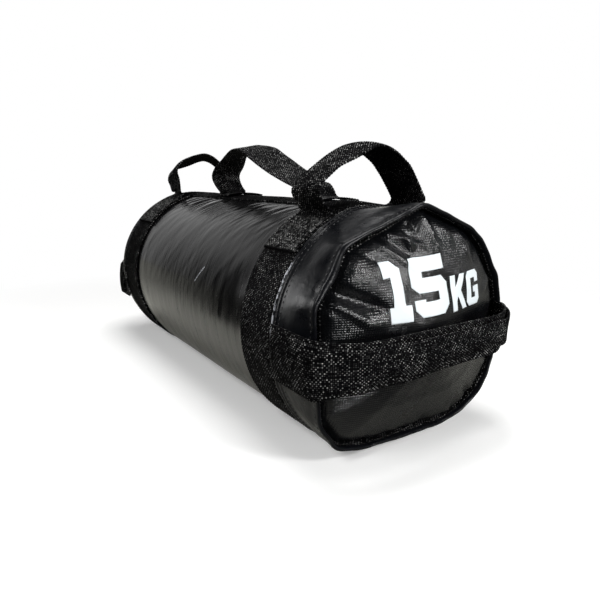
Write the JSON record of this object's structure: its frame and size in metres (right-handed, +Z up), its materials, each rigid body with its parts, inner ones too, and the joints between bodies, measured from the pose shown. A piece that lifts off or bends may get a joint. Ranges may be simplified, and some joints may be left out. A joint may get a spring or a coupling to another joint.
{
  "type": "fitness power bag",
  "caption": "Filled cylindrical vinyl training bag with sewn webbing rings, upright loop handles over its crest and a cupped webbing grip across each domed end.",
  "frame": {"origin": "on the floor under the middle of the bag", "axes": "+X along the bag towards its front end, +Z up; left in a node's name is the -Y side, as seen by someone who faces the front end"},
  "size_m": [0.5988, 0.2294, 0.2648],
  "materials": {
    "black_vinyl": "soft black coated vinyl with a broad sheen",
    "grid_vinyl": "black vinyl with the fine grid of its backing showing through",
    "black_webbing": "matte black woven polypropylene webbing",
    "liner_fabric": "plain woven liner",
    "filling_grains": "packed loose grains"
  },
  "bodies": {
    "bag": {"cover_tube": "black_vinyl", "filling": "filling_grains", "inner_bag": "liner_fabric", "top_strip": "black_webbing", "top_handle_front_end": "black_webbing", "top_handle_rear_end": "black_webbing", "front_collar": "black_vinyl", "front_rim_tape": "black_webbing", "front_end_panel": "grid_vinyl", "front_ring_webbing": "black_webbing", "front_cross_handle_left_end": "black_webbing", "front_cross_handle_right_end": "black_webbing", "front_end_strap": "black_webbing", "front_end_grip_left_end": "black_webbing", "front_end_grip_right_end": "black_webbing", "rear_collar": "black_vinyl", "rear_rim_tape": "black_webbing", "rear_end_panel": "grid_vinyl", "rear_ring_webbing": "black_webbing", "rear_cross_handle_left_end": "black_webbing", "rear_cross_handle_right_end": "black_webbing", "rear_end_strap": "black_webbing", "rear_end_grip_left_end": "black_webbing", "rear_end_grip_right_end": "black_webbing"},
    "front_cross_handle": {"front_cross_handle": "black_webbing"},
    "rear_cross_handle": {"rear_cross_handle": "black_webbing"},
    "top_handle": {"top_handle": "black_webbing"},
    "front_end_grip": {"front_end_grip": "black_webbing"},
    "rear_end_grip": {"rear_end_grip": "black_webbing"}
  },
  "joints": [
    {"name": "front_cross_handle_swing", "type": "hinge", "parent": "bag", "child": "front_cross_handle", "pos_m": [0.1795, 0, 0.19878], "axis": [0, 1, 0], "range_deg": [-30, 30], "stiffness_Nm_per_rad": 0.05},
    {"name": "rear_cross_handle_swing", "type": "hinge", "parent": "bag", "child": "rear_cross_handle", "pos_m": [-0.1795, 0, 0.19878], "axis": [0, 1, 0], "range_deg": [-30, 30], "stiffness_Nm_per_rad": 0.05},
    {"name": "top_handle_swing", "type": "hinge", "parent": "bag", "child": "top_handle", "pos_m": [0, 0, 0.2086], "axis": [1, 0, 0], "range_deg": [-30, 30], "stiffness_Nm_per_rad": 0.05},
    {"name": "front_end_grip_pull", "type": "slide", "parent": "bag", "child": "front_end_grip", "axis": [1, 0, 0], "range_m": [0, 0.012], "stiffness_N_per_m": 60},
    {"name": "rear_end_grip_pull", "type": "slide", "parent": "bag", "child": "rear_end_grip", "axis": [-1, 0, 0], "range_m": [0, 0.012], "stiffness_N_per_m": 60}
  ]
}
